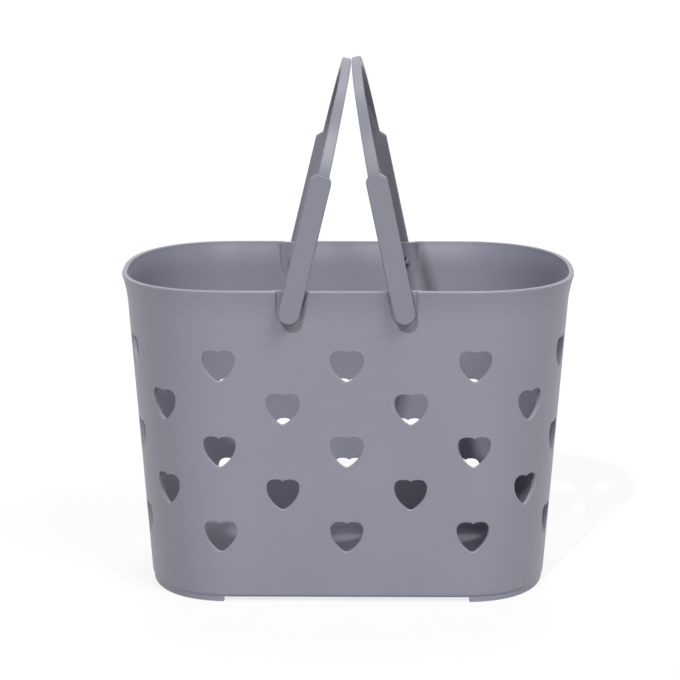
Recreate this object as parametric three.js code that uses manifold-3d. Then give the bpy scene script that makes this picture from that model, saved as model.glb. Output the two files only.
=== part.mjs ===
// Folding shower basket: a tapered plastic tub with rows of heart-shaped holes and two swing handles
// Millimetres, +Z up, origin on the table under the middle of the tub, +X to the right, front at -Y
import * as THREE from "three";
import Module from "manifold-3d";
import { mergeVertices } from "three/addons/utils/BufferGeometryUtils.js";

const wasm = await Module();
wasm.setup();

// Tub: the outer size at the rim and at the table, and the walls
const topLength = 246.4;
const topDepth = 160;
const bottomLength = 215.8;
const bottomDepth = 146.4;
const tubHeight = 170.2;
const flatLength = 120;
const wallThickness = 2.4;
const floorThickness = 2.6;
const edgeRadius = 2;
const floorFillet = 6;

// Rim: the small outward flare under it, its own width and rounding, and how far it sinks at the two ends
const flareHeight = 16;
const flareWidth = 1.8;
const rimWidth = 2.8;
const rimRound = 1.1;
const rimInnerEdge = 0.4;
const rimDip = 1.4;

// Foot ridges: one round each end of the underside
const footHeight = 2.4;
const footWidth = 2.6;
const footInset = 0.6;
const footStart = 66;

// Heart-shaped holes: staggered rows round the whole wall
const heartWidth = 17.4;
const heartHeight = 16.6;
const heartRows = 5;
const topRowDrop = 40.9;
const bottomRowHeight = 36.1;
const columnPitch = 33.9;
const columnsPerQuarter = 5;

// Drain holes in the floor
const drainDiameter = 10;
const drainPitch = 34;
const drainMargin = 14;

// Handles: each one a pair of plate arms joined by an arched grip
const pivotSpread = 60.6;
const pivotDrop = 11.4;
const armWidth = 11.4;
const armThickness = 4;
const armLength = 75.4;
const armCrown = 0.6;
const armBevel = 0.5;
const shoulderCut = 3;
const shoulderRound = 3.6;
const archReach = 127.5;
const archStart = 70;
const archBaseWidth = 6.6;
const archTopWidth = 4.7;
const archTopThickness = 5.4;
const archEndThickness = 3;
const archShift = 0.8;
const archEdge = 0.7;
const meetOffset = 1.7;

// Pivots: a boss and a split stud on each arm, a recess and a hole in the wall
const bossDiameter = 10.6;
const studDiameter = 6.4;
const studHeadDiameter = 8.4;
const studHeadLength = 3;
const studSplit = 1.2;
const recessDepth = 2.6;
const recessMargin = 1.2;
const recessWall = 2.2;

// Clearances: between neighbours, and the lap and the overrun that joined and cut pieces share
const runningGap = 0.3;
const lap = 0.5;
const overrun = 2;

// Counts, exponents and shares that give the curves their form
const endSteps = 9;
const endExponent = 2.4;
const roundSteps = 2;
const flareSteps = 4;
const archSteps = 36;
const archExponent = 2.2;
const heartCurveSteps = 3;
const holeSteps = 12;
const studSteps = 16;
const studTipShare = 0.72;
const heartNotchShare = 0.88;
const heartLobeShares = [
  [0.12, 1, 0.3, 1, 0.5, 1],
  [0.86, 1, 1, 0.72, 1, 0.46],
  [1, -0.2, 0.5, -0.74, 0.12, -0.97],
];
const quarterTurn = Math.PI / 2;

// Where the parts stand: all from the sizes above
const flareTop = tubHeight - rimRound;
const floorTop = footHeight + floorThickness;
const armInner = topDepth / 2 + runningGap;
const recessFloor = topDepth / 2 - recessDepth;
const recessBack = recessFloor - recessWall;
const pivotX = pivotSpread / 2;
const pivotHeight = tubHeight - pivotDrop;
const topRowHeight = tubHeight - topRowDrop;
const rowPitch = (topRowHeight - bottomRowHeight) / (heartRows - 1);

// Colour and finish of the moulded plastic
const plasticColour = 0x8b8a99;
const plasticRoughness = 0.42;

// How far up the flare a height is, from 0 below it to 1 at its top
function flareShare(height) {
  return THREE.MathUtils.clamp((height - flareTop + flareHeight) / flareHeight, 0, 1);
}

// Half the length and half the depth of the tub's outer face at a height
function halfSizes(height) {
  const share = Math.min(height / flareTop, 1);
  const flare = flareWidth * flareShare(height) ** 2;
  const halfLength = THREE.MathUtils.lerp(bottomLength, topLength - 2 * flareWidth, share) / 2;
  const halfDepth = THREE.MathUtils.lerp(bottomDepth, topDepth - 2 * flareWidth, share) / 2;
  return [halfLength + flare, halfDepth + flare];
}

// A quarter of the tub's outline, from the middle of its right end to the start of the flat back
function quarterOutline(halfLength, halfDepth) {
  const power = 2 / endExponent;
  const flat = flatLength / 2;
  return Array.from({ length: endSteps + 1 }, (_, step) => {
    const turn = (step / endSteps) * quarterTurn;
    const x = flat + (halfLength - flat) * Math.abs(Math.cos(turn)) ** power;
    return new THREE.Vector2(x, halfDepth * Math.sin(turn) ** power);
  });
}

// The tub's outline at a height, counterclockwise seen from above, drawn in by an inset
function tubRing(height, inset) {
  const [halfLength, halfDepth] = halfSizes(height).map((size) => size - inset);
  const right = quarterOutline(halfLength, halfDepth);
  const left = right.map((p) => new THREE.Vector2(-p.x, p.y)).reverse();
  const back = [...right, ...left];
  const front = back.slice(1, -1).map((p) => new THREE.Vector2(-p.x, -p.y));
  const dip = rimDip * flareShare(height);
  return [...back, ...front].map((p) => {
    return new THREE.Vector3(p.x, p.y, height - dip * (1 - Math.abs(p.y) / halfDepth));
  });
}

// A closed skin through rings of points, capped at the first ring and at the last
function skin(rings) {
  const count = rings[0].length;
  const last = (rings.length - 1) * count;
  const faces = [];
  for (let start = 0; start < last; start += count) {
    for (let k = 0; k < count; k++) {
      const a = start + k;
      const b = start + ((k + 1) % count);
      faces.push(a, b, b + count, a, b + count, a + count);
    }
  }
  for (let k = 1; k + 1 < count; k++) {
    faces.push(0, k + 1, k);
    faces.push(last, last + k, last + k + 1);
  }
  const geometry = new THREE.BufferGeometry().setFromPoints(rings.flat());
  geometry.setIndex(faces);
  return geometry;
}

// A closed geometry as a solid that can be cut and joined
function toSolid(geometry) {
  geometry.deleteAttribute("normal");
  geometry.deleteAttribute("uv");
  const merged = mergeVertices(geometry);
  const vertProperties = merged.getAttribute("position").array;
  const triVerts = new Uint32Array(merged.index.array);
  return new wasm.Manifold(new wasm.Mesh({ numProp: 3, vertProperties, triVerts }));
}

// A solid as a named mesh in the basket's plastic
function toMesh(name, solid) {
  const { vertProperties, triVerts } = solid.getMesh();
  const indexed = new THREE.BufferGeometry();
  indexed.setAttribute("position", new THREE.BufferAttribute(vertProperties, 3));
  indexed.setIndex(new THREE.BufferAttribute(triVerts, 1));
  const geometry = indexed.toNonIndexed();
  geometry.computeVertexNormals();
  const material = new THREE.MeshStandardMaterial({
    color: plasticColour,
    roughness: plasticRoughness,
    metalness: 0,
  });
  const mesh = new THREE.Mesh(geometry, material);
  mesh.name = name;
  return mesh;
}

// A flat outline in X and Z, given its thickness in Y from a start towards the back
function plateAlongY(shape, start, thickness) {
  const geometry = new THREE.ExtrudeGeometry(shape, { depth: thickness, bevelEnabled: false });
  return toSolid(geometry.rotateX(quarterTurn).translate(0, start + thickness, 0));
}

// A round pin along Y
function pinAlongY(diameter, x, z, start, end) {
  const geometry = new THREE.CylinderGeometry(diameter / 2, diameter / 2, end - start, studSteps);
  return toSolid(geometry.translate(x, (start + end) / 2, z));
}

// The tub's body: up its outer face, over the rim and down inside to the floor
function tubBody() {
  const rings = [];
  for (let step = 0; step <= roundSteps; step++) {
    const turn = (step / roundSteps) * quarterTurn;
    rings.push(tubRing(footHeight + edgeRadius * (1 - Math.cos(turn)), edgeRadius * (1 - Math.sin(turn))));
  }
  const flareHeights = Array.from({ length: flareSteps + 1 }, (_, step) => {
    return flareTop - flareHeight * (1 - step / flareSteps);
  });
  for (const height of flareHeights) rings.push(tubRing(height, 0));
  for (let step = 1; step <= roundSteps; step++) {
    const turn = (step / roundSteps) * quarterTurn;
    rings.push(tubRing(flareTop + rimRound * Math.sin(turn), rimRound * (1 - Math.cos(turn))));
  }
  rings.push(tubRing(tubHeight, rimWidth - rimInnerEdge));
  rings.push(tubRing(tubHeight - rimInnerEdge, rimWidth));
  for (const height of flareHeights.toReversed()) {
    rings.push(tubRing(height, THREE.MathUtils.lerp(wallThickness, rimWidth, flareShare(height))));
  }
  for (let step = 0; step <= roundSteps; step++) {
    const turn = (step / roundSteps) * quarterTurn;
    const height = floorTop + floorFillet * (1 - Math.sin(turn));
    rings.push(tubRing(height, wallThickness + floorFillet * (1 - Math.cos(turn))));
  }
  return toSolid(skin(rings));
}

// The ridges that the basket stands on: a low wall under each end, open along the middle
function feet() {
  const top = footHeight + edgeRadius;
  const outer = toSolid(skin([tubRing(0, footInset), tubRing(top, footInset)]));
  const innerInset = footInset + footWidth;
  const inner = toSolid(skin([tubRing(-overrun, innerInset), tubRing(top + overrun, innerInset)]));
  const middle = new THREE.BoxGeometry(2 * footStart, 2 * topDepth, 2 * tubHeight);
  return outer.subtract(inner).subtract(toSolid(middle));
}

// One heart outline, centred, with its tip down
function heartShape() {
  const halfWidth = heartWidth / 2;
  const halfHeight = heartHeight / 2;
  const lobe = new THREE.Path();
  lobe.moveTo(0, heartNotchShare * halfHeight);
  for (const shares of heartLobeShares) {
    lobe.bezierCurveTo(...shares.map((share, k) => share * (k % 2 ? halfHeight : halfWidth)));
  }
  const right = lobe.getPoints(heartCurveSteps);
  const left = right.slice(1).reverse().map((p) => new THREE.Vector2(-p.x, p.y));
  return new THREE.Shape([...right, new THREE.Vector2(0, -halfHeight), ...left]);
}

// The place and outward direction of a column of hearts, counted from the front's middle to the right
function columnPlace(column, height) {
  const [halfLength, halfDepth] = halfSizes(height);
  const along = column * columnPitch;
  const flat = flatLength / 2;
  if (along <= flat) return [new THREE.Vector2(along, -halfDepth), new THREE.Vector2(0, -1)];
  const back = quarterOutline(halfLength, halfDepth);
  const front = back.slice(1).reverse().map((p) => new THREE.Vector2(p.x, -p.y));
  const end = new THREE.SplineCurve([...front, ...back]);
  const share = (along - flat) / (columnsPerQuarter * columnPitch - flat) / 2;
  const tangent = end.getTangentAt(share);
  return [end.getPointAt(share), new THREE.Vector2(tangent.y, -tangent.x)];
}

// One heart cutter, through the wall at a place
function heartCutter(place, normal, height) {
  const depth = wallThickness + 2 * overrun;
  const geometry = new THREE.ExtrudeGeometry(heartShape(), { depth, bevelEnabled: false });
  geometry.translate(0, 0, -depth + overrun);
  const outward = new THREE.Vector3(normal.x, normal.y, 0);
  const up = new THREE.Vector3(0, 0, 1);
  const across = new THREE.Vector3().crossVectors(up, outward);
  const stance = new THREE.Matrix4().makeBasis(across, up, outward);
  stance.setPosition(place.x, place.y, height);
  return toSolid(geometry.applyMatrix4(stance));
}

// All heart cutters: odd rows have one in the middle of the front, the rows between are half a step off
function heartCutters() {
  const cutters = [];
  for (let row = 0; row < heartRows; row++) {
    const height = topRowHeight - row * rowPitch;
    for (let column = row % 2; column <= columnsPerQuarter; column += 2) {
      const [place, normal] = columnPlace(column, height);
      const sides = column === 0 ? [1] : [1, -1];
      const faces = column === columnsPerQuarter ? [1] : [1, -1];
      for (const side of sides) {
        for (const face of faces) {
          const turned = new THREE.Vector2(side, face);
          cutters.push(heartCutter(place.clone().multiply(turned), normal.clone().multiply(turned), height));
        }
      }
    }
  }
  return cutters;
}

// Drain holes through the floor, staggered, as many as fit inside the margin
function drainCutters() {
  const [halfLength, halfDepth] = halfSizes(floorTop).map((size) => size - wallThickness - drainMargin);
  const flat = flatLength / 2;
  const rowStep = drainPitch * Math.sin(Math.PI / 3);
  const rows = Math.floor(halfDepth / rowStep);
  const columns = Math.ceil(halfLength / drainPitch);
  const depth = floorThickness + 2 * overrun;
  const cutters = [];
  for (let row = -rows; row <= rows; row++) {
    for (let column = -columns; column <= columns; column++) {
      const x = (column + (row % 2 ? 1 / 2 : 0)) * drainPitch;
      const y = row * rowStep;
      const along = Math.max(0, Math.abs(x) - flat) / (halfLength - flat);
      if (along ** endExponent + Math.abs(y / halfDepth) ** endExponent > 1) continue;
      const hole = new THREE.CylinderGeometry(drainDiameter / 2, drainDiameter / 2, depth, holeSteps);
      cutters.push(toSolid(hole.rotateX(quarterTurn).translate(x, y, footHeight + floorThickness / 2)));
    }
  }
  return cutters;
}

// How far a handle leans in at rest, so that its grip meets the other one beside the middle
function restLean(side) {
  const gripHalf = archTopWidth / 2;
  const gripTop = archReach - archEdge;
  const across = pivotX - side * meetOffset - runningGap / 2;
  return Math.asin(across / Math.hypot(gripTop, gripHalf)) - Math.atan2(gripHalf, gripTop);
}

// The U of a recess in X and Z: an upright outer edge, a round base and an inner edge along the arm
function recessShape(side, radius, top) {
  const lean = restLean(side);
  const inner = new THREE.Vector2(pivotX - radius * Math.cos(lean), pivotHeight - radius * Math.sin(lean));
  const shape = new THREE.Shape();
  shape.moveTo(pivotX + radius, top);
  shape.lineTo(pivotX + radius, pivotHeight);
  shape.absarc(pivotX, pivotHeight, radius, 0, lean - Math.PI, true);
  shape.lineTo(inner.x - (top - inner.y) * Math.tan(lean), top);
  const points = shape.getPoints(holeSteps / 2).map((p) => new THREE.Vector2(side * p.x, p.y));
  return new THREE.Shape(points);
}

// The tub: its body and feet, with the recesses pressed in, and the hearts, drains and pivot holes cut
function basket() {
  let tub = tubBody().add(feet());
  const radius = armWidth / 2 + recessMargin;
  for (const side of [1, -1]) {
    for (const face of [1, -1]) {
      const padStart = face > 0 ? recessBack : -recessFloor;
      const cutStart = face > 0 ? recessFloor : -recessFloor - recessDepth - overrun;
      const holeStart = face > 0 ? recessBack - overrun : -topDepth / 2;
      const holeEnd = face > 0 ? topDepth / 2 : -recessBack + overrun;
      const pad = recessShape(side, radius + recessWall, tubHeight - rimInnerEdge);
      const cut = recessShape(side, radius, tubHeight + overrun);
      const holeDiameter = studDiameter + 2 * runningGap;
      tub = tub.add(plateAlongY(pad, padStart, recessWall));
      tub = tub.subtract(plateAlongY(cut, cutStart, recessDepth + overrun));
      tub = tub.subtract(pinAlongY(holeDiameter, side * pivotX, pivotHeight, holeStart, holeEnd));
    }
  }
  for (const cutter of [...heartCutters(), ...drainCutters()]) tub = tub.subtract(cutter);
  return toMesh("basket", tub);
}

// The outline of a plate arm: a round foot at the pivot, a sloped outer shoulder and a rounded inner one
function armShape() {
  const half = armWidth / 2;
  const shape = new THREE.Shape();
  shape.moveTo(half, 0);
  shape.lineTo(half, armLength - shoulderCut);
  shape.lineTo(half - shoulderCut, armLength);
  shape.quadraticCurveTo((shoulderRound - shoulderCut) / 2, armLength + armCrown, shoulderRound - half, armLength);
  shape.quadraticCurveTo(-half, armLength, -half, armLength - shoulderRound);
  shape.lineTo(-half, 0);
  shape.absarc(0, 0, half, Math.PI, 2 * Math.PI, false);
  return new THREE.Shape(shape.getPoints(holeSteps / 2));
}

// A plate arm with its bevelled edges, its outer face away from the tub
function arm(face) {
  const geometry = new THREE.ExtrudeGeometry(armShape(), {
    depth: armThickness - 2 * armBevel,
    bevelThickness: armBevel,
    bevelSize: armBevel,
    bevelOffset: -armBevel,
    bevelSegments: 1,
  });
  const middle = face * (armInner + armThickness / 2);
  return toSolid(geometry.rotateX(quarterTurn).translate(0, middle + armThickness / 2 - armBevel, 0));
}

// The arched grip: a band that narrows and thickens from each arm to the top
function arch() {
  const power = 2 / archExponent;
  const rings = Array.from({ length: archSteps + 1 }, (_, step) => {
    const turn = (step / archSteps) * Math.PI;
    const along = -Math.sign(Math.cos(turn)) * Math.abs(Math.cos(turn)) ** power;
    const rise = Math.abs(Math.sin(turn)) ** power;
    const outer = new THREE.Vector2((armInner + archEndThickness) * along, (archReach - archStart) * rise);
    const inner = new THREE.Vector2(armInner * along, (archReach - archTopThickness - archStart) * rise);
    const thickness = outer.distanceTo(inner);
    const half = THREE.MathUtils.lerp(archBaseWidth, archTopWidth, rise) / 2;
    const middle = -archShift * (1 - rise);
    const corners = [
      [half - archEdge, 0],
      [half, archEdge],
      [half, thickness - archEdge],
      [half - archEdge, thickness],
      [archEdge - half, thickness],
      [-half, thickness - archEdge],
      [-half, archEdge],
      [archEdge - half, 0],
    ];
    return corners.map(([x, depth]) => {
      const p = outer.clone().lerp(inner, depth / thickness);
      return new THREE.Vector3(middle + x, p.x, archStart + p.y);
    });
  });
  return toSolid(skin(rings));
}

// The pivot on one arm: a boss up to the recess floor and a stud, split in four, that snaps behind the wall
function pivot(face) {
  const bossEnd = recessFloor + runningGap;
  const headStart = recessBack - runningGap;
  const headEnd = headStart - studHeadLength;
  const profile = [
    [0, headEnd],
    [(studDiameter / 2) * studTipShare, headEnd],
    [studHeadDiameter / 2, headStart - lap],
    [studHeadDiameter / 2, headStart],
    [studDiameter / 2, headStart],
    [studDiameter / 2, bossEnd],
    [bossDiameter / 2, bossEnd],
    [bossDiameter / 2, armInner + lap],
    [0, armInner + lap],
  ];
  const turned = new THREE.LatheGeometry(profile.map(([radius, y]) => new THREE.Vector2(radius, y)), studSteps);
  let solid = toSolid(turned);
  const slotLength = bossEnd - headEnd + overrun;
  for (const turn of [quarterTurn / 2, -quarterTurn / 2]) {
    const slot = new THREE.BoxGeometry(studHeadDiameter + overrun, slotLength, studSplit);
    solid = solid.subtract(toSolid(slot.rotateY(turn).translate(0, bossEnd - slotLength / 2, 0)));
  }
  return face > 0 ? solid : solid.rotate([0, 0, 180]);
}

// A swing handle, upright, with its pivot axis on Y and its outer side at +X
function handle(name) {
  const frame = [arm(1), arm(-1), pivot(1), pivot(-1)];
  return toMesh(name, frame.reduce((whole, piece) => whole.add(piece), arch()));
}

// A handle in its place: the left one is the same moulding turned round
function placedHandle(name, side) {
  const mesh = handle(name);
  mesh.rotation.y = -restLean(side);
  const place = new THREE.Group();
  place.position.set(side * pivotX, 0, pivotHeight);
  place.rotation.z = side > 0 ? 0 : Math.PI;
  place.add(mesh);
  return place;
}

const showerBasket = new THREE.Group();
showerBasket.add(basket(), placedHandle("left_handle", -1), placedHandle("right_handle", 1));

export default showerBasket;
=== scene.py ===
# The looks of a folding shower basket: a tapered tub with heart-shaped holes and two swing handles
# Metres, +Z up, origin on the table under the middle of the tub, front at -Y
import math

import bmesh
import bpy
import numpy as np
from bpy.props import FloatProperty, FloatVectorProperty, IntProperty, PointerProperty
from mathutils import Matrix, Vector


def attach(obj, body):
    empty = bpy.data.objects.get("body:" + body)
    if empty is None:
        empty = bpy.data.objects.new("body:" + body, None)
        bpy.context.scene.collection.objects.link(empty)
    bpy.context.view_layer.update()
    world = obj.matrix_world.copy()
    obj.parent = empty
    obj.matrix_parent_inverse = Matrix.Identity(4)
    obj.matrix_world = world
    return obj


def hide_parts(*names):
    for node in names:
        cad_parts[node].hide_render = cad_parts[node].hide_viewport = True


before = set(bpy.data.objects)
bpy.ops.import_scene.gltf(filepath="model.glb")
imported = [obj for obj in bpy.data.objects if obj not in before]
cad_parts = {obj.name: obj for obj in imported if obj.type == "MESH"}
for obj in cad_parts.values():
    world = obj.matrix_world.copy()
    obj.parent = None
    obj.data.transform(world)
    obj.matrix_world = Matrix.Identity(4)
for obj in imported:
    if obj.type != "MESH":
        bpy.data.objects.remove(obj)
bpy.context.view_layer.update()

bl_info = {
    "name": "Folding shower basket",
    "version": (1, 0, 0),
    "blender": (4, 5, 0),
    "location": "View3D > Sidebar > Basket",
    "description": "Models a moulded shower basket with heart-shaped holes and two swing handles",
    "category": "Add Mesh",
}


# Shapes that are the same at any size. A heart's points and handles are in halves of its width and height
END_EXPONENT = 2.4
GRIP_EXPONENT = 2.2
STUD_TIP_SHARE = 0.72
INNER_RIM_SHARE = 0.8
HEART_POINTS = [
    ((0, 0.85), (-0.12, 1.0), (0.12, 1.0)),
    ((0.5, 1.0), (0.3, 1.0), (0.86, 1.0)),
    ((1.0, 0.46), (1.0, 0.72), (1.0, -0.2)),
    ((0.12, -0.97), (0.5, -0.74), (0.06, -1.0)),
]

# Steps of round forms
OUTLINE_TURNS = 4001
PIN_STEPS = 64
FINE_PIN_STEPS = 48
DRAIN_STEPS = 40
HEART_STEPS = 8
FLARE_STEPS = 8
FILLET_STEPS = 8
UNDERSIDE_STEPS = 6
RIM_STEPS = 4
FOOT_STEPS = 16
GRIP_SLICES = 72

# Metres: how far rough ends and cutters go past the finished faces, what counts as the same place,
# and how near points are merged
OVER = 0.002
CLOSE = 1e-5
MERGE = 5e-6

# A normal's part along an axis past which a face counts as square to it, or as exactly square to it
STRAIGHT = 0.99
EXACT = 0.9999

# Edges sharper than this are rounded, or stay sharp in the shading
SHARP = math.radians(40)
HANDLE_SHARP = math.radians(35)

# The plastic: its patterns' scales, the darkest and palest share of its colour, its relief in metres
FLOW_SCALE, MOTTLE_SCALE = 22.0, 240.0
DARKEST, PALEST = 0.94, 1.06
RELIEF, RELIEF_STRENGTH = 0.00006, 0.12
PLASTIC_IOR = 1.47

# The floor: its size in metres, its grey where it is seen in shadow, and where it lights the basket
FLOOR_SIZE = 24
FLOOR_PAINT, FLOOR_BOUNCE = 0.95, 0.56

# The camera's film in millimetres, and the nearest and farthest it sees in metres
FILM_WIDTH = 36
SIGHT = (0.01, 100)


def length(name, description, default):
    """A size in metres."""
    return FloatProperty(
        name=name, description=description, default=default, min=0, unit="LENGTH", precision=4
    )


def angle(name, description, default):
    """An angle in radians."""
    return FloatProperty(name=name, description=description, default=default, subtype="ANGLE")


def amount(name, description, default):
    """A plain number."""
    return FloatProperty(name=name, description=description, default=default)


def fraction(name, description, default):
    """A number from 0 to 1."""
    return FloatProperty(
        name=name, description=description, default=default, min=0, max=1, subtype="FACTOR"
    )


def number(name, description, default, least=1):
    """A whole number."""
    return IntProperty(name=name, description=description, default=default, min=least)


def plastic_colour(name, description, default):
    """A colour in linear light."""
    return FloatVectorProperty(
        name=name, description=description, default=default, size=3, subtype="COLOR"
    )


class TubSizes(bpy.types.PropertyGroup):
    """Sizes of the tub, the same as the solid's."""

    top_length: length("Top length", "Outer length at the rim", 0.2464)
    top_depth: length("Top depth", "Outer depth at the rim", 0.160)
    bottom_length: length("Bottom length", "Outer length at the table", 0.2158)
    bottom_depth: length("Bottom depth", "Outer depth at the table", 0.1464)
    height: length("Height", "Height of the rim over the table", 0.1702)
    flat_length: length("Flat length", "Straight stretch of the front and the back", 0.120)
    wall: length("Wall", "Thickness of the wall", 0.0024)
    floor: length("Floor", "Thickness of the floor", 0.0026)
    floor_fillet: length("Floor fillet", "Radius between the floor and the wall inside", 0.006)
    edge_radius: length("Bottom edge", "Radius round the underside", 0.002)
    flare_height: length("Flare height", "Height of the outward flare under the rim", 0.016)
    flare_width: length("Flare width", "How far the flare goes out", 0.0018)
    rim_width: length("Rim width", "Thickness of the rim", 0.0028)
    rim_band: length("Rim band", "Height of the upright band over the flare", 0.0011)
    rim_edge: length("Rim edge", "Radius of the rim's edges", 0.0006)
    rim_dip: length("Rim dip", "How far the rim sinks at the two ends", 0.0014)
    foot_height: length("Foot height", "Height of the ridges the tub stands on", 0.0024)
    foot_width: length("Foot width", "Thickness of the ridges", 0.0026)
    foot_inset: length("Foot inset", "How far the ridges stand in from the outline", 0.0006)
    foot_start: length("Foot start", "Distance of the ridges' open ends from the middle", 0.066)
    heart_width: length("Heart width", "Width of a heart-shaped hole", 0.0174)
    heart_height: length("Heart height", "Height of a heart-shaped hole", 0.0166)
    row_pitch: length("Row pitch", "Height from one row of hearts to the next", 0.0233)
    top_row: length("Top row", "Height of the middle of the top row of hearts", 0.1293)
    column_pitch: length("Column pitch", "Distance from one column of hearts to the next", 0.0339)
    drain_diameter: length("Drain diameter", "Diameter of a drain hole in the floor", 0.010)
    drain_pitch: length("Drain pitch", "Distance between drain holes", 0.034)
    drain_margin: length("Drain margin", "Least distance of a drain's middle from the wall", 0.014)
    heart_edge: length("Heart edge", "Rounding of the edges of the hearts and drains", 0.0005)
    recess_edge: length("Recess edge", "Rounding of the edges of the recesses", 0.0002)
    heart_rows: number("Heart rows", "Rows of hearts", 5)
    heart_columns: number("Heart columns", "Column steps in a quarter turn", 5)
    end_columns: number("End columns", "Facets in each quarter of the outline", 30, 6)


class HandleSizes(bpy.types.PropertyGroup):
    """Sizes of a handle and its seats in the tub, the same as the solids'."""

    pivot_spread: length("Pivot spread", "Distance between the two handles' axes", 0.0606)
    pivot_height: length("Pivot height", "Height of the axes", 0.1588)
    arm_width: length("Arm width", "Width of a plate arm", 0.0114)
    arm_thickness: length("Arm thickness", "Thickness of a plate arm", 0.004)
    arm_length: length("Arm length", "Length of a plate arm above its axis", 0.0754)
    arm_bevel: length("Arm bevel", "Rounding of the arm's edges", 0.0008)
    shoulder_cut: length("Shoulder cut", "Width of the outer shoulder's slope", 0.003)
    shoulder_round: length("Shoulder round", "Radius of the inner shoulder", 0.0042)
    grip_reach: length("Grip reach", "Distance of the grip's top from the axis", 0.1275)
    grip_start: length("Grip start", "Where the arched grip leaves the arms", 0.070)
    grip_base_width: length("Grip base width", "Width of the grip at the arms", 0.0066)
    grip_top_width: length("Grip top width", "Width of the grip at the top", 0.0047)
    grip_top_thickness: length("Grip top thickness", "Thickness of the grip at the top", 0.0054)
    grip_end_thickness: length("Grip end thickness", "Thickness of the grip at the arms", 0.003)
    grip_shift: length("Grip shift", "How far the grip's base stands towards the inner side", 0.0008)
    grip_edge: length("Grip edge", "Rounding along the grip", 0.0007)
    meet_offset: length("Meet offset", "Distance from the middle to where the grips meet", 0.0017)
    gap: length("Gap", "Running gap between neighbours", 0.0003)
    boss_diameter: length("Boss diameter", "Diameter of the boss behind an arm", 0.0106)
    stud_diameter: length("Stud diameter", "Diameter of a snap stud", 0.0064)
    head_diameter: length("Head diameter", "Diameter of the stud's barbed head", 0.0084)
    head_length: length("Head length", "Length of the stud's head", 0.003)
    stud_split: length("Stud split", "Width of the slots in a stud", 0.0012)
    recess_depth: length("Recess depth", "Depth of the recess behind an arm at the rim", 0.0026)
    recess_margin: length("Recess margin", "Space round an arm in its recess", 0.0012)
    recess_corner: length("Recess corner", "Radius where a recess meets the rim", 0.002)
    recess_wall: length("Recess wall", "Thickness of the wall behind a recess", 0.0022)


class PlasticFinish(bpy.types.PropertyGroup):
    """Colours and finish of the moulded plastic."""

    tub_colour: plastic_colour("Tub colour", "Colour of the tub", (0.258, 0.2595, 0.318))
    handle_colour: plastic_colour("Handle colour", "Colour of the handles", (0.216, 0.223, 0.270))
    roughness: fraction("Roughness", "Roughness of the plastic", 0.42)
    gloss: fraction("Gloss", "Strength of the plastic's reflections", 0.38)
    grain: length("Grain", "Size of the fine moulded grain", 0.0006)


class StageSettings(bpy.types.PropertyGroup):
    """Camera and lights."""

    camera_distance: length("Camera distance", "Distance of the camera along the floor", 1.7147)
    camera_height: length("Camera height", "Height of the camera", 0.4733)
    camera_turn: angle("Camera turn", "Turn round the basket", 0.0093)
    camera_tilt: angle("Camera tilt", "Tilt below level", 0.1985)
    camera_yaw: angle("Camera yaw", "Aim to the left", 0.0026)
    lens: amount("Lens", "Focal length in millimetres", 168.37)
    key_power: amount("Key power", "Main light, in watts per square metre", 1.9)
    key_turn: angle("Key turn", "Main light, to the right", -0.267)
    key_rise: angle("Key rise", "Main light's elevation", 0.698)
    key_spread: angle("Key spread", "Spread of the main light", 0.04)
    card_turn: angle("Card turn", "Reflection card, to the right", 0.12)
    card_rise: angle("Card rise", "Reflection card's elevation", 0.62)
    card_distance: length("Card distance", "Distance of the reflection card and of the lamps", 3.0)
    card_width: length("Card width", "Width of the reflection card", 0.1)
    card_glow: amount("Card glow", "Power of the reflection card per square metre", 392)
    card_height: length("Card height", "Height of the reflection card", 2.4)
    fill_power: amount("Fill power", "Side light, in watts per square metre", 1.52)
    fill_turn: angle("Fill turn", "Side light, to the right", 0.75)
    fill_rise: angle("Fill rise", "Side light's elevation", 0.85)
    top_power: amount("Top power", "Top light, in watts per square metre", 1.15)
    top_turn: angle("Top turn", "Top light, to the right", math.pi)
    top_rise: angle("Top rise", "Top light's elevation", 1.047)
    soft_spread: angle("Soft spread", "Spread of the side and top lights", 0.5)
    dome: amount("Dome", "Strength of the light from all round", 0.03)
    behind: amount("Behind", "Extra light from behind", 0.8)
    floor_shade: amount("Floor shade", "Strength of the shadow on the floor", 0.2)


def select_only(*objects):
    """Deselects everything and selects these, the last one active."""
    bpy.ops.object.select_all(action="DESELECT")
    for obj in objects:
        obj.select_set(True)
        bpy.context.view_layer.objects.active = obj


def settle(obj):
    """Puts an object's place, turn and scale into its mesh."""
    select_only(obj)
    bpy.ops.object.transform_apply(location=True, rotation=True, scale=True)
    return obj


def add_block(low, high):
    """A cube primitive between two corners."""
    low, high = Vector(low), Vector(high)
    bpy.ops.mesh.primitive_cube_add(size=1, location=(low + high) / 2, scale=high - low)
    return settle(bpy.context.object)


def add_pin(diameter, x, z, y_from, y_to, steps=PIN_STEPS):
    """A round pin along Y."""
    bpy.ops.mesh.primitive_cylinder_add(
        vertices=steps,
        radius=diameter / 2,
        depth=abs(y_to - y_from),
        location=(x, (y_from + y_to) / 2, z),
        rotation=(-math.pi / 2, 0, 0),
    )
    return settle(bpy.context.object)


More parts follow.
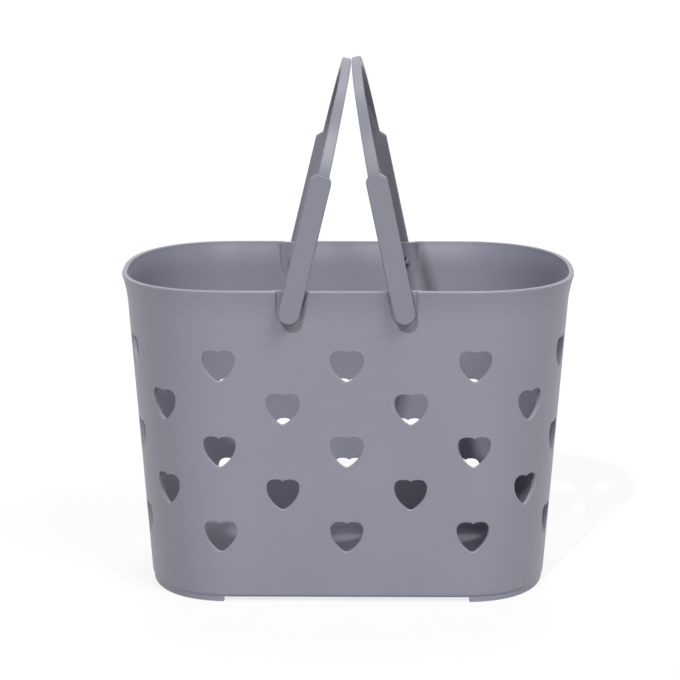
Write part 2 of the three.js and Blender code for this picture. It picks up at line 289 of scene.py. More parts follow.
class editing:
    """Edit mode on one object, with a selection made in code."""

    def __init__(self, obj):
        self.obj = obj

    def __enter__(self):
        select_only(self.obj)
        bpy.ops.object.mode_set(mode="EDIT")
        return self

    def __exit__(self, *error):
        bpy.ops.object.mode_set(mode="OBJECT")

    def mesh(self):
        return bmesh.from_edit_mesh(self.obj.data)

    def pick(self, kind, test):
        """Selects the edges or the faces that pass a test."""
        bpy.ops.mesh.select_mode(type=kind)
        bpy.ops.mesh.select_all(action="DESELECT")
        mesh = self.mesh()
        found = [item for item in (mesh.edges if kind == "EDGE" else mesh.faces) if test(item)]
        if not found:
            raise RuntimeError(f"nothing to select on {self.obj.name}")
        for item in found:
            item.select_set(True)
        mesh.select_flush_mode()
        bmesh.update_edit_mesh(self.obj.data)

    def slice(self, point, normal):
        """Cuts the whole mesh along a plane and keeps both sides."""
        bpy.ops.mesh.select_all(action="SELECT")
        bpy.ops.mesh.bisect(plane_co=point, plane_no=normal)

    def cut_off(self, point):
        """Cuts level through a point, takes off what is above and closes the cut."""
        bpy.ops.mesh.select_all(action="SELECT")
        bpy.ops.mesh.bisect(plane_co=point, plane_no=(0, 0, 1), clear_outer=True, use_fill=True)

    def extrude(self, move):
        """Extrudes what is selected."""
        bpy.ops.mesh.extrude_region_move(TRANSFORM_OT_translate={"value": move})

    def merge(self, within=MERGE):
        """Merges points that lie together."""
        bpy.ops.mesh.select_all(action="SELECT")
        bpy.ops.mesh.remove_doubles(threshold=within)

    def face_outwards(self):
        """Turns every face outwards."""
        bpy.ops.mesh.select_all(action="SELECT")
        bpy.ops.mesh.normals_make_consistent(inside=False)

    def place(self, move):
        """Moves every vertex by a function of its place."""
        mesh = self.mesh()
        for vert in mesh.verts:
            vert.co = move(vert.co)
        bmesh.update_edit_mesh(self.obj.data)

    def bevel(self, test, width, segments):
        """Rounds the edges that pass a test."""
        self.pick("EDGE", test)
        bpy.ops.mesh.bevel(offset=width, segments=segments, affect="EDGES", profile=0.5)


def near(value, target, within=CLOSE):
    return abs(value - target) < within


def is_sharp(edge):
    return edge.is_manifold and edge.calc_face_angle(0) > SHARP


def edge_at(y=None, z=None, x=None):
    """A test for edges that lie at given places."""

    def test(edge):
        for vert in edge.verts:
            for have, want in zip(vert.co, (x, y, z)):
                if want is not None and not near(have, want):
                    return False
        return True

    return test


def combine(obj, tools, operation):
    """Joins or cuts an object with others, which are used up."""
    select_only(*tools)
    if len(tools) > 1:
        bpy.ops.object.join()
    tool = bpy.context.view_layer.objects.active
    modifier = obj.modifiers.new("Shape", "BOOLEAN")
    modifier.operation = operation
    modifier.solver = "EXACT"
    modifier.object = tool
    select_only(obj)
    bpy.ops.object.modifier_apply(modifier=modifier.name)
    bpy.data.objects.remove(tool)


def round_edges(obj, width, segments=3):
    """Rounds the sharp edges of a piece."""
    modifier = obj.modifiers.new("Edges", "BEVEL")
    modifier.width = width
    modifier.segments = segments
    modifier.limit_method = "ANGLE"
    modifier.angle_limit = SHARP
    modifier.miter_outer = "MITER_ARC"
    select_only(obj)
    bpy.ops.object.modifier_apply(modifier=modifier.name)


def even_shading(obj, sharp=SHARP):
    """Smooth shading that keeps wide faces flat beside their rounded edges, and sharp edges sharp."""
    select_only(obj)
    bpy.ops.object.shade_smooth_by_angle(angle=sharp)
    modifier = obj.modifiers.new("Shading", "WEIGHTED_NORMAL")
    modifier.mode = "FACE_AREA"
    modifier.weight = 100
    modifier.keep_sharp = True
    bpy.ops.object.modifier_apply(modifier=modifier.name)


class TubForm:
    """The tub's outline and how a straight wall is bent round it."""

    def __init__(self, sizes):
        self.s = sizes
        self.flat = sizes.flat_length / 2
        self.flare_top = sizes.height - sizes.rim_band
        self.floor_top = sizes.foot_height + sizes.floor
        self.turns = np.linspace(0, math.pi / 2, OUTLINE_TURNS)
        self.arc = self.arc_lengths(sizes.top_row / 2)
        self.quarter = self.flat + float(self.arc[-1])
        self.around = 4 * self.quarter
        self.seam = 2 * self.quarter + sizes.column_pitch / 2

    def flare(self, height):
        """0 under the flare, 1 where it ends in the rim."""
        return np.clip((height - self.flare_top + self.s.flare_height) / self.s.flare_height, 0, 1)

    def half_sizes(self, height):
        """Half the outer length and half the outer depth at a height."""
        s = self.s
        share = np.minimum(height / self.flare_top, 1)
        flare = s.flare_width * self.flare(height) ** 2
        half_length = (s.bottom_length + (s.top_length - 2 * s.flare_width - s.bottom_length) * share) / 2
        half_depth = (s.bottom_depth + (s.top_depth - 2 * s.flare_width - s.bottom_depth) * share) / 2
        return half_length + flare, half_depth + flare

    def front(self, height):
        """Where the front of the wall stands at a height."""
        return -float(self.half_sizes(height)[1])

    def thickness(self, height):
        """Thickness of the wall at a height."""
        return self.s.wall + (self.s.rim_width - self.s.wall) * self.flare(height)

    def arc_lengths(self, height):
        """Length along a quarter of an end, from the flat to the middle of the end, at each turn."""
        half_length, half_depth = self.half_sizes(height)
        x = (half_length - self.flat) * np.sin(self.turns) ** (2 / END_EXPONENT)
        y = half_depth * np.abs(np.cos(self.turns)) ** (2 / END_EXPONENT)
        return np.concatenate([[0], np.cumsum(np.hypot(np.diff(x), np.diff(y)))])

    def bend(self, points):
        """Points of the straight wall, its outer face at -Y, moved to their place round the tub."""
        along, depth, height = points[:, 0], -points[:, 1], points[:, 2]
        half = self.around / 2
        along = np.mod(along + half, self.around) - half
        side = np.sign(along)
        reach = np.abs(along)
        back = reach > self.quarter
        run = np.where(back, half - reach, reach)
        turn = np.interp(run - self.flat, self.arc, self.turns)
        out = np.sin(turn) ** (2 / END_EXPONENT)
        keep = np.abs(np.cos(turn)) ** (2 / END_EXPONENT)
        half_length, half_depth = self.half_sizes(height)
        inset = half_depth - depth
        x = np.where(run < self.flat, run, self.flat + (half_length - inset - self.flat) * out)
        y = np.where(back, 1, -1) * depth * keep
        z = height - self.s.rim_dip * self.flare(height) * (1 - keep)
        return np.stack([side * x, y, z], 1)

    def bend_normals(self, points, normals):
        """Normals of the straight wall, turned with it, from how the wall bends within two steps."""
        step, least = 2e-5, 1e-20
        dx, dy, dz = (
            self.bend(points + offset) - self.bend(points - offset) for offset in np.eye(3) * step
        )
        turned = (
            normals[:, :1] * np.cross(dy, dz)
            + normals[:, 1:2] * np.cross(dz, dx)
            + normals[:, 2:] * np.cross(dx, dy)
        )
        return turned / np.maximum(np.linalg.norm(turned, axis=1, keepdims=True), least)

    def column_run(self, column, height):
        """How far along the straight wall a column of hearts is, at a height."""
        along = column * self.s.column_pitch
        if along <= self.flat:
            return along
        share = (along - self.flat) / (self.s.heart_columns * self.s.column_pitch - self.flat)
        arc = self.arc_lengths(height)
        turn = np.interp(share * arc[-1], arc, self.turns)
        return self.flat + float(np.interp(turn, self.turns, self.arc))

    def stretch(self, run, height):
        """How much longer the wall is round the tub than on the straight, at a place."""
        reach = 1e-3
        depth = self.half_sizes(height)[1]
        ends = np.array([[run - reach, -depth, height], [run + reach, -depth, height]])
        low, high = self.bend(ends)
        return float(np.linalg.norm(high - low)) / (2 * reach)


def heart_cutter(sizes, run, height, stretch, y_from, y_to):
    """A heart outline drawn as a curve, given depth and stood on the straight wall."""
    bpy.ops.curve.primitive_bezier_curve_add(radius=1, location=(0, 0, 0))
    obj = bpy.context.object
    curve = obj.data
    curve.dimensions = "2D"
    curve.fill_mode = "BOTH"
    curve.resolution_u = HEART_STEPS
    curve.extrude = abs(y_to - y_from) / 2
    spline = curve.splines[0]
    drawn = list(HEART_POINTS)
    for point, before, after in reversed(HEART_POINTS[1:]):
        drawn.append([(-x, y) for x, y in (point, after, before)])
    spline.bezier_points.add(len(drawn) - len(spline.bezier_points))
    spline.use_cyclic_u = True
    half_width, half_height = sizes.heart_width / 2 / stretch, sizes.heart_height / 2
    for handle, (point, before, after) in zip(spline.bezier_points, drawn):
        handle.handle_left_type = handle.handle_right_type = "FREE"
        handle.co = (point[0] * half_width, point[1] * half_height, 0)
        handle.handle_left = (before[0] * half_width, before[1] * half_height, 0)
        handle.handle_right = (after[0] * half_width, after[1] * half_height, 0)
    obj.rotation_euler = (math.pi / 2, 0, 0)
    obj.location = (run, (y_from + y_to) / 2, height)
    select_only(obj)
    bpy.ops.object.convert(target="MESH")
    obj = settle(bpy.context.object)
    with editing(obj) as edit:
        edit.merge(MERGE / 5)
        edit.face_outwards()
    return obj


def heart_places(form):
    """Run and height of each heart on the straight wall: rows are staggered by half a column step."""
    s = form.s
    half = form.around / 2
    for row in range(s.heart_rows):
        height = s.top_row - row * s.row_pitch
        for column in range(row % 2, s.heart_columns + 1, 2):
            run = form.column_run(column, height)
            stretch = form.stretch(run, height)
            runs = {run, -run, half - run, run - half}
            if column == s.heart_columns:
                runs = {run, -run}
            if column == 0:
                runs = {0, half}
            for place in runs:
                if place < form.seam - form.around:
                    place += form.around
                if place > form.seam:
                    place -= form.around
                yield place, height, stretch


def rest_lean(handle, side):
    """How far a handle leans in at rest."""
    half = handle.grip_top_width / 2
    top = handle.grip_reach - handle.grip_edge
    across = handle.pivot_spread / 2 - side * handle.meet_offset - handle.gap / 2
    return math.asin(across / math.hypot(top, half)) - math.atan2(half, top)


def recess_block(handle, lean, radius, centre, outward, y_from, y_to, top, rim=None, rim_edge=0):
    """The form of a recess: a round base, an upright outer edge and an inner edge along the resting arm.

    Where the rim's height is given, the inner edge and the back run out into the rim on round corners."""
    obj = add_pin(2 * radius, centre, handle.pivot_height, y_from, y_to, FINE_PIN_STEPS)
    rise = top - handle.pivot_height
    shift = math.tan(lean) * rise * outward
    with editing(obj) as edit:
        edit.cut_off((centre, 0, handle.pivot_height))
        edit.pick("FACE", lambda face: face.normal.z > STRAIGHT)
        edit.extrude((0, 0, rise))

        def slant(co):
            inner = near(co.z, top) and (co.x - centre) * outward < 0
            return Vector((co.x - shift, co.y, co.z)) if inner else co

        edit.place(slant)
        if rim:
            turns = np.linspace(0, math.pi / 2, RIM_STEPS + 1)

            def run_out(height, corner):
                rises = rim - corner + corner * np.sin(turns)
                return float(np.interp(height, rises, corner - corner * np.cos(turns)))

            corners = (handle.recess_corner, rim_edge)
            heights = {round(float(rim - c + c * math.sin(turn)), 7) for c in corners for turn in turns}
            for height in sorted(heights):
                edit.slice((0, 0, height), (0, 0, 1))

            def open_up(co):
                middle = centre - shift / 2 * (co.z - handle.pivot_height) / rise
                inner = (co.x - middle) * outward < 0
                aside = -outward * run_out(co.z, handle.recess_corner) if inner else 0
                behind = run_out(co.z, rim_edge) if near(co.y, y_to) else 0
                return co + Vector((aside, behind, 0))

            edit.place(open_up)
        edit.face_outwards()
    return obj


def straight_wall(form):
    """The wall and the floor's border as one straight moulding, from seam to seam, over-high at the rim."""
    s = form.s
    outer_face = -s.top_depth / 2
    inner_face = outer_face + s.wall
    start = (form.seam - form.around, outer_face, s.foot_height)
    obj = add_block(start, (form.seam, inner_face, s.height + OVER))
    flare_rows = [form.flare_top - s.flare_height * (1 - k / FLARE_STEPS) for k in range(FLARE_STEPS + 1)]
    with editing(obj) as edit:
        for height in [form.floor_top, *flare_rows]:
            edit.slice((0, 0, height), (0, 0, 1))

        def profile(co):
            inside = co.y > inner_face - CLOSE
            return Vector((co.x, form.front(co.z) + (float(form.thickness(co.z)) if inside else 0), co.z))

        def beside_floor(face):
            return face.normal.y > 0.9 and face.calc_center_median().z < form.floor_top

        edit.place(profile)
        edit.pick("FACE", beside_floor)
        edit.extrude((0, 2 * s.floor_fillet, 0))
        inner = form.front(form.floor_top) + s.wall
        edit.bevel(edge_at(y=inner, z=form.floor_top), s.floor_fillet, FILLET_STEPS)
        under = form.front(s.foot_height)
        edit.bevel(edge_at(y=under, z=s.foot_height), s.edge_radius, UNDERSIDE_STEPS)
    return obj


def trim_rim(obj, sizes):
    """Cuts the wall and what is joined to it off level at the rim, and rounds the rim's edges."""
    inner = -sizes.top_depth / 2 + sizes.rim_width

    def inner_edge(edge):
        return all(near(vert.co.z, sizes.height) and vert.co.y > inner - CLOSE for vert in edge.verts)

    with editing(obj) as edit:
        edit.cut_off((0, 0, sizes.height))
        edit.bevel(edge_at(y=-sizes.top_depth / 2, z=sizes.height), sizes.rim_edge, RIM_STEPS)
        edit.bevel(inner_edge, INNER_RIM_SHARE * sizes.heart_edge, RIM_STEPS)


def foot_blocks(form):
    """The ridges under the two ends, straight, to be joined to the wall."""
    s = form.s
    outer = form.front(0) + s.foot_inset
    top = s.foot_height + s.edge_radius
    x = (form.half_sizes(0)[0] - form.flat) * np.sin(form.turns) ** (2 / END_EXPONENT)
    turn = np.interp(s.foot_start - form.flat, x, form.turns)
    reach = form.quarter - form.flat - float(np.interp(turn, form.turns, form.arc))
    return [
        add_block((middle - reach, outer, 0), (middle + reach, outer + s.foot_width, top))
        for middle in (form.quarter, -form.quarter)
    ]


def drain_places(form):
    """Where the floor's drain holes are: in rows at 60 degrees, as many as fit inside the margin."""
    s = form.s
    half_length, half_depth = (float(x) - s.wall - s.drain_margin for x in form.half_sizes(form.floor_top))
    step = s.drain_pitch * math.sin(math.pi / 3)
    rows = int(half_depth / step)
    columns = math.ceil(half_length / s.drain_pitch)
    for row in range(-rows, rows + 1):
        for column in range(-columns, columns + 1):
            x = (column + (0.5 if row % 2 else 0)) * s.drain_pitch
            y = row * step
            along = max(0, abs(x) - form.flat) / (half_length - form.flat)
            if along**END_EXPONENT + abs(y / half_depth) ** END_EXPONENT <= 1:
                yield x, y


def keep_normals(obj, form):
    """Bends the straight moulding round the tub and keeps its shading as corner values."""
    mesh = obj.data
    count, corners = len(mesh.vertices), len(mesh.loops)
    points = np.zeros(count * 3)
    mesh.vertices.foreach_get("co", points)
    points = points.reshape(-1, 3)
    owner = np.zeros(corners, int)
    mesh.loops.foreach_get("vertex_index", owner)
    normals = np.zeros(corners * 3)
    mesh.corner_normals.foreach_get("vector", normals)
    turned = form.bend_normals(points[owner], normals.reshape(-1, 3))
    kept = mesh.attributes.new("kept_normal", "FLOAT_VECTOR", "CORNER")
    kept.data.foreach_set("vector", turned.ravel())
    mesh.vertices.foreach_set("co", form.bend(points).ravel())
    mesh.update()


def use_kept_normals(obj):
    """Shades the finished tub with the kept normals, and its level floor faces straight up or down."""
    mesh = obj.data
    kept = np.zeros(len(mesh.loops) * 3)
    mesh.attributes["kept_normal"].data.foreach_get("vector", kept)
    kept = kept.reshape(-1, 3)
    for face in mesh.polygons:
        if abs(face.normal.z) > EXACT:
            kept[face.loop_start : face.loop_start + face.loop_total] = face.normal
    size = np.linalg.norm(kept, axis=1, keepdims=True)
    kept = np.where(size > 0.5, kept / np.maximum(size, 1e-9), 0)
    mesh.attributes.remove(mesh.attributes["kept_normal"])
    select_only(obj)
    bpy.ops.object.shade_smooth()
    mesh.normals_split_custom_set(kept.tolist())


def cut_wall(obj, form, handle):
    """Adds the pads behind the arms, and cuts the rim, the recesses, the hearts and the pivot holes."""
    s = form.s
    radius = handle.arm_width / 2 + handle.recess_margin
    floor = -s.top_depth / 2 + handle.recess_depth
    pad_back = floor + handle.recess_wall
    hole = handle.stud_diameter + 2 * handle.gap
    pads, cuts, holes = [], [], []
    for side in (1, -1):
        lean = rest_lean(handle, side)
        pivot = side * handle.pivot_spread / 2
        for centre, outward in ((pivot, side), (form.around / 2 - pivot, -side)):
            if centre > form.seam:
                centre -= form.around
            place = (centre, outward)
            pad_radius = radius + handle.recess_wall
            pads.append(recess_block(handle, lean, pad_radius, *place, floor, pad_back, s.height + 2 * OVER))
            front = floor - handle.recess_depth - OVER
            top = s.height + OVER
            cuts.append(recess_block(handle, lean, radius, *place, front, floor, top, s.height, s.rim_edge))
            holes.append(add_pin(hole, centre, handle.pivot_height, floor - OVER, pad_back + OVER))
    for pad in pads:
        with editing(pad) as edit:
            edit.bevel(edge_at(y=pad_back), s.heart_edge, 3)
    combine(obj, pads, "UNION")
    trim_rim(obj, s)
    outer, inner = -s.top_depth / 2 - OVER, -s.bottom_depth / 2 + s.wall + OVER
    for run, height, stretch in heart_places(form):
        cuts.append(heart_cutter(s, run, height, stretch, outer, inner))
    combine(obj, cuts, "DIFFERENCE")
    combine(obj, holes, "DIFFERENCE")


def round_wall(obj, form, handle):
    """Takes off the faces at the wall's open ends, and rounds the edges of the hearts and the recesses."""
    s = form.s
    ends = (form.seam, form.seam - form.around)
    border = form.front(form.floor_top) + s.wall + 1.9 * s.floor_fillet
    recess_floor = -s.top_depth / 2 + handle.recess_depth
    low = handle.pivot_height - handle.arm_width / 2 - handle.recess_margin - handle.recess_wall
    high = s.height - s.rim_edge

    def open_end(face):
        middle = face.calc_center_median()
        at_seam = abs(face.normal.x) > STRAIGHT and any(near(middle.x, end) for end in ends)
        return at_seam or (face.normal.y > STRAIGHT and middle.y > border and middle.z < form.floor_top)

    def on_heart(edge):
        return is_sharp(edge) and all(2 * s.foot_height < vert.co.z < low for vert in edge.verts)

    def on_recess(edge):
        outside = all(vert.co.y < recess_floor - 10 * CLOSE for vert in edge.verts)
        return outside and is_sharp(edge) and all(low < vert.co.z < high + CLOSE for vert in edge.verts)

    with editing(obj) as edit:
        edit.pick("FACE", open_end)
        bpy.ops.mesh.delete(type="FACE")
        edit.bevel(on_heart, s.heart_edge, 3)
        edit.bevel(on_recess, s.recess_edge, 2)


def slice_wall(obj, form):
    """Slices the straight wall across, so that it can bend round the ends."""
    steps = form.s.end_columns
    runs = [form.flat + form.arc[-1] * k / steps for k in range(steps + 1)]
    runs += [form.around / 2 - run for run in runs[:-1]]
    with editing(obj) as edit:
        for run in runs + [-run for run in runs]:
            if form.seam - form.around < run < form.seam:
                edit.slice((run, 0, 0), (1, 0, 0))


def floor_faces(obj, form):
    """Closes the seam, fills the floor inside its border and cuts the drain holes."""
    s = form.s
    levels = (form.floor_top, s.foot_height)
    places = list(drain_places(form))

    def on_border(height):
        def test(edge):
            return edge.is_boundary and all(near(vert.co.z, height, 10 * CLOSE) for vert in edge.verts)

        return test

    def on_drain(edge):
        for vert in edge.verts:
            reaches = (math.hypot(vert.co.x - x, vert.co.y - y) for x, y in places)
            if not any(near(reach, s.drain_diameter / 2) for reach in reaches):
                return False
        first, last = (vert.co.z for vert in edge.verts)
        return near(first, last) and any(near(first, level) for level in levels)

    with editing(obj) as edit:
        edit.merge()
        for height in levels:
            edit.pick("EDGE", on_border(height))
            bpy.ops.mesh.edge_face_add()
    pins = []
    for x, y in places:
        bpy.ops.mesh.primitive_cylinder_add(
            vertices=DRAIN_STEPS,
            radius=s.drain_diameter / 2,
            depth=4 * s.floor,
            location=(x, y, form.floor_top - s.floor / 2),
        )
        pins.append(settle(bpy.context.object))
    combine(obj, pins, "DIFFERENCE")
    with editing(obj) as edit:
        edit.bevel(on_drain, s.heart_edge, 2)


class MESH_OT_basket_tub(bpy.types.Operator):
    """Models the tub: a straight wall is cut, rounded and bent round the outline, and gets its floor"""

    bl_idname = "mesh.basket_tub"
    bl_label = "Tub"

    def execute(self, context):
        form, handle = TubForm(context.scene.basket_tub), context.scene.basket_handle
        obj = straight_wall(form)
        combine(obj, foot_blocks(form), "UNION")
        cut_wall(obj, form, handle)
        round_wall(obj, form, handle)
        slice_wall(obj, form)
        even_shading(obj)
        keep_normals(obj, form)
        floor_faces(obj, form)
        use_kept_normals(obj)
        finish_piece(obj, "tub", "basket", "basket", context.scene.basket_plastic.tub_colour)
        return {"FINISHED"}


def finish_piece(obj, name, body, node, colour):
    """Names a finished piece, gives it its plastic and puts it on its body in place of the solid."""
    obj.name = obj.data.name = name
    obj.data.materials.clear()
    obj.data.materials.append(moulded_plastic(f"{name}_plastic", colour, bpy.context.scene.basket_plastic))
    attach(obj, body)
    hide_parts(node)


def bend_grip(handle, obj):
    """Bends a straight bar, one unit long, into the arched grip."""
    power = 2 / GRIP_EXPONENT
    inner_side = bpy.context.scene.basket_tub.top_depth / 2 + handle.gap + handle.arm_bevel / 10
    inner_rise = handle.grip_reach - handle.grip_top_thickness - handle.grip_start
    outer_side = inner_side + handle.grip_end_thickness
    outer_rise = handle.grip_reach - handle.grip_start

    def arch(co):
        turn = (co.y + 0.5) * math.pi
        along = -math.copysign(abs(math.cos(turn)) ** power, math.cos(turn))
        rise = abs(math.sin(turn)) ** power
        outer = Vector((outer_side * along, outer_rise * rise))
        inner = Vector((inner_side * along, inner_rise * rise))
        point = inner.lerp(outer, co.z / handle.grip_top_thickness)
        width = handle.grip_base_width + (handle.grip_top_width - handle.grip_base_width) * rise
        x = co.x * width / handle.grip_base_width - handle.grip_shift * (1 - rise)
        return Vector((x, point.x, handle.grip_start + point.y))

    with editing(obj) as edit:
        edit.place(arch)
        edit.face_outwards()


def grip(handle):
    """The arched grip: a rounded bar, sliced across and bent."""
    half = handle.grip_base_width / 2
    obj = add_block((-half, -0.5, 0), (half, 0.5, handle.grip_top_thickness))

    def lengthwise(edge):
        return abs(edge.verts[0].co.y - edge.verts[1].co.y) > 0.5

    with editing(obj) as edit:
        edit.bevel(lengthwise, handle.grip_edge, 4)
        for k in range(1, GRIP_SLICES):
            edit.slice((0, k / GRIP_SLICES - 0.5, 0), (0, 1, 0))
    bend_grip(handle, obj)
    return obj


def plate_arm(handle, face, tub):
    """A plate arm: a block with a round foot, a sloped outer shoulder and a rounded inner one."""
    half = handle.arm_width / 2
    inner = tub.top_depth / 2 + handle.gap
    low, high = sorted((face * inner, face * (inner + handle.arm_thickness)))
    obj = add_block((-half, low, -half), (half, high, handle.arm_length))
    with editing(obj) as edit:
        edit.bevel(edge_at(x=half, z=handle.arm_length), handle.shoulder_cut, 1)
        edit.bevel(edge_at(x=-half, z=handle.arm_length), handle.shoulder_round, FILLET_STEPS)
        for x in (half, -half):
            edit.bevel(edge_at(x=x, z=-half), half * EXACT, FOOT_STEPS)
        edit.merge(half / 1000)
    round_edges(obj, handle.arm_bevel)
    return obj


def pivot_pieces(handle, face, tub):
    """The boss behind one arm, and the stud with its barbed head, split in four."""
    arm = tub.top_depth / 2 + handle.gap
    recess = tub.top_depth / 2 - handle.recess_depth
    boss_end = recess + handle.gap
    head = recess - handle.recess_wall - handle.gap
    tip = head - handle.head_length
    lap, step = handle.arm_bevel, handle.arm_bevel / 10
    boss = add_pin(handle.boss_diameter, 0, 0, face * (arm + lap), face * boss_end)
    round_edges(boss, handle.gap, 2)
    stud = add_pin(handle.stud_diameter, 0, 0, face * (boss_end + lap), face * tip, FINE_PIN_STEPS)
    wide = handle.head_diameter / handle.stud_diameter
    depths = (tip, head - lap, head, head + step)
    shares = (STUD_TIP_SHARE, wide, wide, 1)
    with editing(stud) as edit:
        for depth in depths[1:]:
            edit.slice((0, face * depth, 0), (0, 1, 0))

        def barb(co):
            share = float(np.interp(abs(co.y), depths, shares))
            return Vector((co.x * share, co.y, co.z * share))

        edit.place(barb)
    half = handle.stud_split / 2
    low, high = sorted((face * (boss_end - step), face * (tip - lap)))
    for turn in (math.pi / 4, -math.pi / 4):
        slot = add_block((-handle.head_diameter, low, -half), (handle.head_diameter, high, half))
        slot.rotation_euler = (0, turn, 0)
        combine(stud, [settle(slot)], "DIFFERENCE")
    round_edges(stud, handle.stud_split / 8, 2)
    return boss, stud


class MESH_OT_basket_handles(bpy.types.Operator):
    """Models the two swing handles: one moulding, made once and set in its two places"""

    bl_idname = "mesh.basket_handles"
    bl_label = "Handles"

    def execute(self, context):
        handle, tub = context.scene.basket_handle, context.scene.basket_tub
        whole = grip(handle)
        for face in (-1, 1):
            combine(whole, [plate_arm(handle, face, tub)], "UNION")
            for piece in pivot_pieces(handle, face, tub):
                combine(whole, [piece], "UNION")
        with editing(whole) as edit:
            edit.merge()
        even_shading(whole, HANDLE_SHARP)
        for side, name in ((1, "right_handle"), (-1, "left_handle")):
            select_only(whole)
            bpy.ops.object.duplicate()
            obj = bpy.context.object
            lean = Matrix.Rotation(-rest_lean(handle, side), 4, "Y")
            turn = Matrix.Rotation(0 if side > 0 else math.pi, 4, "Z")
            place = Matrix.Translation((side * handle.pivot_spread / 2, 0, handle.pivot_height))
            obj.matrix_world = place @ turn @ lean
            settle(obj)
            colour = context.scene.basket_plastic.handle_colour
            finish_piece(obj, f"{name}_moulding", name, name, colour)
        bpy.data.objects.remove(whole)
        return {"FINISHED"}


class Wire:
    """A shader socket that takes part in sums with numbers and other sockets."""

    def __init__(self, board, socket):
        self.board = board
        self.socket = socket

    def maths(self, operation, other):
        return self.board.add("ShaderNodeMath", {"operation": operation}, self, other)

    def __add__(self, other):
        return self.maths("ADD", other)

    __radd__ = __add__

    def __mul__(self, other):
        return self.maths("MULTIPLY", other)

    __rmul__ = __mul__


class Board:
    """The node tree of a material or of the world."""

    def __init__(self, tree):
        self.tree = tree
        tree.nodes.clear()

    def add(self, kind, settings=None, *inputs, out=0, **named):
        """Adds a node, makes its settings, fills its sockets and gives one output."""
        node = self.tree.nodes.new(kind)
        for key, value in (settings or {}).items():
            setattr(node, key, value)
        for key, value in [*enumerate(inputs), *named.items()]:
            socket = node.inputs[key.replace("_", " ") if isinstance(key, str) else key]
            if isinstance(value, Wire):
                self.tree.links.new(value.socket, socket)
            elif value is not None:
                socket.default_value = value
        return Wire(self, node.outputs[out]) if node.outputs else node

    def noise(self, place, scale, detail, roughness=0.5):
        """A noise pattern on the object."""
        return self.add(
            "ShaderNodeTexNoise", None, Vector=place, Scale=scale, Detail=detail, Roughness=roughness
        )


def grey(level):
    return (level, level, level, 1)


def moulded_plastic(name, colour, finish):
    """Satin plastic: an even tint with faint flow marks, a fine grain and small changes of gloss."""
    material = bpy.data.materials.new(name)
    material.use_nodes = True
    board = Board(material.node_tree)
    place = board.add("ShaderNodeTexCoord", out="Object")
    flow = board.noise(place, FLOW_SCALE, 2.0)
    mottle = board.noise(place, MOTTLE_SCALE, 3.0, 0.6)
    grain = board.noise(place, 1 / finish.grain, 2.0)
    dark = tuple(c * DARKEST for c in colour) + (1,)
    pale = tuple(c * PALEST for c in colour) + (1,)
    blend = flow * 0.7 + mottle * 0.3
    unused = [None] * 5
    tint = board.add("ShaderNodeMix", {"data_type": "RGBA"}, blend, *unused, dark, pale, out=2)
    roughness = finish.roughness - 0.06 + 0.08 * flow + 0.04 * grain
    height = 0.4 * flow + 0.6 * grain
    bump = board.add("ShaderNodeBump", None, Strength=RELIEF_STRENGTH, Distance=RELIEF, Height=height)
    shader = board.add(
        "ShaderNodeBsdfPrincipled",
        None,
        Base_Color=tint,
        Roughness=roughness,
        Normal=bump,
        IOR=PLASTIC_IOR,
        Specular_IOR_Level=finish.gloss,
    )
    board.add("ShaderNodeOutputMaterial", None, shader)
    return material


class SCENE_OT_basket_stage(bpy.types.Operator):
    """Sets up the floor, the lights and the camera"""

    bl_idname = "scene.basket_stage"
    bl_label = "Stage"

    def execute(self, context):
        stage = context.scene.basket_stage
        floor_under(stage)
        studio_world(context.scene, stage)
        for name in ("key", "fill", "top"):
            lamp = aimed_light(name, "SUN", stage)
            lamp.data.energy = getattr(stage, f"{name}_power")
            lamp.data.angle = stage.key_spread if name == "key" else stage.soft_spread
            lamp.visible_glossy = name != "key"
        card = aimed_light("card", "AREA", stage)
        card.data.shape = "RECTANGLE"
        card.data.size, card.data.size_y = stage.card_width, stage.card_height
        card.data.energy = stage.card_glow * stage.card_width * stage.card_height
        card.visible_diffuse = False
        context.scene.camera = aimed_camera(context.scene, stage)
        context.scene.view_settings.view_transform = "Standard"
        return {"FINISHED"}


def aimed_camera(scene, stage):
    """The camera, in front of the basket and a little over it."""
    camera = bpy.data.objects.new("camera", bpy.data.cameras.new("camera"))
    scene.collection.objects.link(camera)
    camera.data.sensor_width = FILM_WIDTH
    camera.data.lens = stage.lens
    camera.data.clip_start, camera.data.clip_end = SIGHT
    turn = stage.camera_turn
    camera.location = (
        stage.camera_distance * math.sin(turn),
        -stage.camera_distance * math.cos(turn),
        stage.camera_height,
    )
    camera.rotation_euler = (math.pi / 2 - stage.camera_tilt, 0, turn + stage.camera_yaw)
    return camera


def aimed_light(name, kind, stage):
    """A light aimed at the basket, turned to the right of the front and raised over level."""
    turn, rise = getattr(stage, f"{name}_turn"), getattr(stage, f"{name}_rise")
    towards = Vector((math.sin(turn) * math.cos(rise), -math.cos(turn) * math.cos(rise), math.sin(rise)))
    bpy.ops.object.light_add(type=kind, location=towards * stage.card_distance)
    lamp = bpy.context.object
    lamp.name = lamp.data.name = name
    lamp.rotation_mode = "QUATERNION"
    lamp.rotation_quaternion = towards.to_track_quat("Z", "Y")
    return lamp


def seen_directly(board):
    """1 for rays from the camera, off gloss or through glass, 0 for light that falls on the object."""
    path = board.add("ShaderNodeLightPath").socket.node
    names = ("Is Camera Ray", "Is Glossy Ray", "Is Transmission Ray")
    camera, glossy, through = (Wire(board, path.outputs[name]) for name in names)
    return camera.maths("MAXIMUM", glossy).maths("MAXIMUM", through)


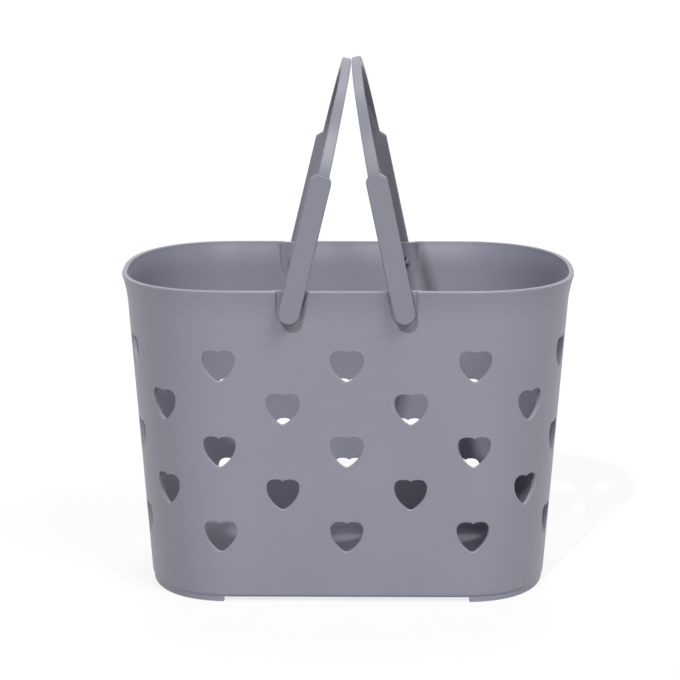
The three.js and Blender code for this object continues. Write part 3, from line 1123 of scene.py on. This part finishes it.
def floor_under(stage):
    """A pale floor that keeps the basket's shadow."""
    bpy.ops.object.select_all(action="DESELECT")
    bpy.ops.mesh.primitive_plane_add(size=FLOOR_SIZE, location=(0, 0, 0))
    floor = bpy.context.object
    floor.name = "floor"
    material = bpy.data.materials.new("floor_paint")
    material.use_nodes = True
    board = Board(material.node_tree)
    seen = seen_directly(board)
    white = board.add("ShaderNodeEmission", None, Color=grey(1), Strength=1.0)
    paint = board.add("ShaderNodeBsdfDiffuse", None, Color=grey(FLOOR_PAINT))
    pale = board.add("ShaderNodeMixShader", None, stage.floor_shade, white, paint)
    bounce = board.add("ShaderNodeBsdfDiffuse", None, Color=grey(FLOOR_BOUNCE))
    both = board.add("ShaderNodeMixShader", None, seen, bounce, pale)
    board.add("ShaderNodeOutputMaterial", None, both)
    floor.data.materials.append(material)


def studio_world(scene, stage):
    """White where it is seen, and a soft light on the object from all round, stronger from behind."""
    world = bpy.data.worlds.new("studio")
    scene.world = world
    world.use_nodes = True
    board = Board(world.node_tree)
    seen = seen_directly(board)
    place = board.add("ShaderNodeTexCoord", out="Generated")
    depth = board.add("ShaderNodeSeparateXYZ", None, place, out=1).maths("MAXIMUM", 0.0)
    level = stage.dome + stage.behind * depth * depth
    sky = board.add("ShaderNodeBackground", None, Color=grey(1), Strength=level)
    white = board.add("ShaderNodeBackground", None, Color=grey(1), Strength=1.0)
    both = board.add("ShaderNodeMixShader", None, seen, sky, white)
    board.add("ShaderNodeOutputWorld", None, both)


class VIEW3D_PT_basket(bpy.types.Panel):
    """Lists the basket's pieces and the stage"""

    bl_label = "Shower basket"
    bl_idname = "VIEW3D_PT_basket"
    bl_space_type = "VIEW_3D"
    bl_region_type = "UI"
    bl_category = "Basket"

    def draw(self, context):
        for operator in OPERATORS:
            self.layout.operator(operator.bl_idname)
        for name in GROUPS:
            box = self.layout.box()
            settings = getattr(context.scene, name)
            for key in settings.bl_rna.properties.keys():
                if key not in ("rna_type", "name"):
                    box.prop(settings, key)


GROUPS = {
    "basket_tub": TubSizes,
    "basket_handle": HandleSizes,
    "basket_plastic": PlasticFinish,
    "basket_stage": StageSettings,
}
OPERATORS = (MESH_OT_basket_tub, MESH_OT_basket_handles, SCENE_OT_basket_stage)
CLASSES = (*GROUPS.values(), *OPERATORS, VIEW3D_PT_basket)


def register():
    for cls in CLASSES:
        bpy.utils.register_class(cls)
    for name, group in GROUPS.items():
        setattr(bpy.types.Scene, name, PointerProperty(type=group))


def unregister():
    for name in GROUPS:
        delattr(bpy.types.Scene, name)
    for cls in reversed(CLASSES):
        bpy.utils.unregister_class(cls)


def main():
    register()
    bpy.ops.scene.basket_stage()
    bpy.ops.mesh.basket_tub()
    bpy.ops.mesh.basket_handles()


if __name__ == "__main__":
    main()
